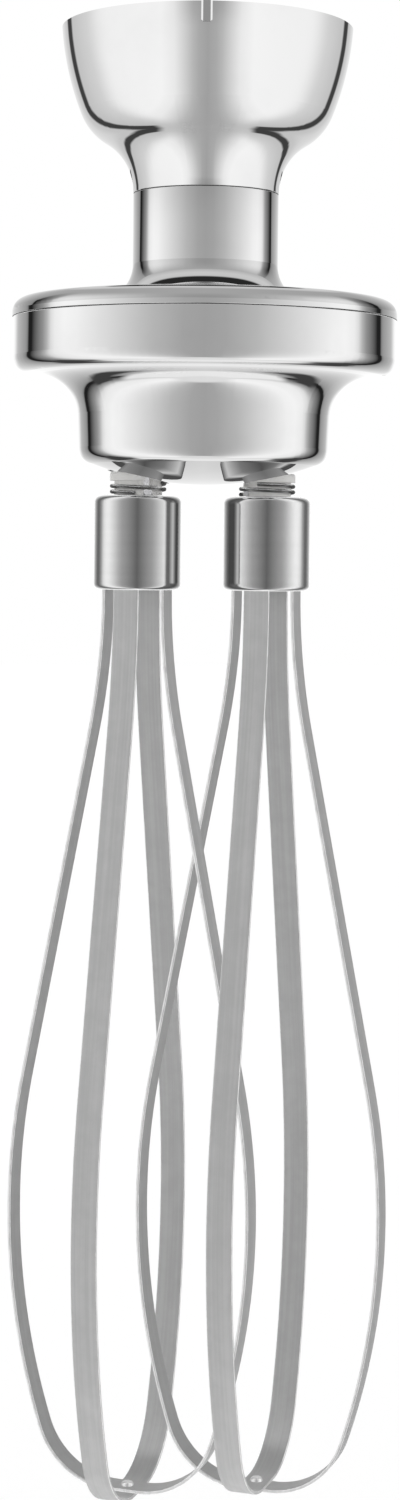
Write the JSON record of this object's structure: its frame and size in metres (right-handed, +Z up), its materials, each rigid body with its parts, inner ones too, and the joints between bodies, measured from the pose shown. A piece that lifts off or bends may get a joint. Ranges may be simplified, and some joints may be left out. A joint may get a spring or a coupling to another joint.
{
  "type": "whisk attachment for a stick blender",
  "caption": "Polished whisk attachment for a stick blender: a bayonet bell and a round gearbox turn interleaved balloon whisks of steel strip against each other; the whisks pull off.",
  "frame": {"origin": "centre of the bell's mouth, in the plane of its rim", "axes": "+Z up the drive axis out of the bell, X along the line of the whisk spindles, -Y the front with the index rib"},
  "size_m": [0.0976, 0.0976, 0.3717],
  "materials": {
    "polished_steel": "mirror-polished stainless steel",
    "satin_steel": "satin turned stainless steel",
    "strip_steel": "matt rolled stainless strip with bright edges",
    "nylon": "off-white moulded nylon",
    "spring_wire": "drawn spring wire",
    "fastener_steel": "bright stainless fastener",
    "bearing_steel": "ground bearing steel",
    "shaft_steel": "ground stainless shaft",
    "gear_steel": "hobbed gear steel",
    "bush_bronze": "sintered bronze",
    "seal_rubber": "black nitrile rubber",
    "cast_aluminium": "machined cast aluminium",
    "black_acetal": "black acetal"
  },
  "bodies": {
    "housing": {"coupling_bell": "polished_steel", "bayonet_ring": "shaft_steel", "bayonet_screws": "fastener_steel", "bell_screws": "fastener_steel", "top_cover": "polished_steel", "cover_seal": "seal_rubber", "shaft_seal": "seal_rubber", "bearing_clip": "fastener_steel", "gear_housing": "polished_steel", "gear_plate": "cast_aluminium", "plate_screws": "fastener_steel", "layshaft_axle": "shaft_steel", "spindle_seals": "seal_rubber", "input_bearing_outer_rings": "bearing_steel", "input_bearing_balls": "bearing_steel", "left_bearing_outer_rings": "bearing_steel", "left_bearing_balls": "bearing_steel", "right_bearing_outer_rings": "bearing_steel", "right_bearing_balls": "bearing_steel"},
    "input_drive": {"drive_coupling": "black_acetal", "coupling_pin": "fastener_steel", "input_shaft": "shaft_steel", "input_spacer": "shaft_steel", "input_clips": "fastener_steel", "input_pinion": "gear_steel", "input_bearing_inner_rings": "bearing_steel"},
    "layshaft": {"layshaft_wheel": "gear_steel", "layshaft_pinion": "gear_steel", "layshaft_bush": "bush_bronze"},
    "left_drive": {"left_spindle": "shaft_steel", "left_output_gear": "gear_steel", "left_gear_key": "fastener_steel", "left_spindle_spacer": "shaft_steel", "left_spindle_clip": "fastener_steel", "left_drive_pin": "fastener_steel", "left_bearing_inner_rings": "bearing_steel"},
    "right_drive": {"right_spindle": "shaft_steel", "right_output_gear": "gear_steel", "right_gear_key": "fastener_steel", "right_spindle_spacer": "shaft_steel", "right_spindle_clip": "fastener_steel", "right_drive_pin": "fastener_steel", "right_bearing_inner_rings": "bearing_steel"},
    "left_whisk": {"left_hub": "nylon", "left_retaining_spring": "spring_wire", "left_collar": "satin_steel", "left_core": "cast_aluminium", "left_outer_loop": "strip_steel", "left_inner_loop": "strip_steel", "left_rivet": "strip_steel"},
    "right_whisk": {"right_hub": "nylon", "right_retaining_spring": "spring_wire", "right_collar": "satin_steel", "right_core": "cast_aluminium", "right_outer_loop": "strip_steel", "right_inner_loop": "strip_steel", "right_rivet": "strip_steel"}
  },
  "joints": [
    {"name": "left_drive_spin", "type": "hinge", "parent": "housing", "child": "left_drive", "pos_m": [-0.0165, 0, -0.08], "axis": [0, 0, 1], "continuous": true},
    {"name": "right_drive_spin", "type": "hinge", "parent": "housing", "child": "right_drive", "pos_m": [0.0165, 0, -0.08], "axis": [0, 0, 1], "continuous": true},
    {"name": "layshaft_spin", "type": "hinge", "parent": "housing", "child": "layshaft", "pos_m": [-0.00627, 0.02004, -0.08], "axis": [0, 0, 1], "continuous": true},
    {"name": "input_drive_spin", "type": "hinge", "parent": "housing", "child": "input_drive", "pos_m": [0, 0, -0.08], "axis": [0, 0, 1], "continuous": true},
    {"name": "left_whisk_release", "type": "slide", "parent": "left_drive", "child": "left_whisk", "axis": [0, 0, -1], "range_m": [0, 0.012]},
    {"name": "right_whisk_release", "type": "slide", "parent": "right_drive", "child": "right_whisk", "axis": [0, 0, -1], "range_m": [0, 0.012]}
  ],
  "couplings": [
    {"joint": "right_drive_spin", "follows": "left_drive_spin", "ratio": -1},
    {"joint": "layshaft_spin", "follows": "left_drive_spin", "ratio": -2.75},
    {"joint": "input_drive_spin", "follows": "left_drive_spin", "ratio": 6.875}
  ]
}
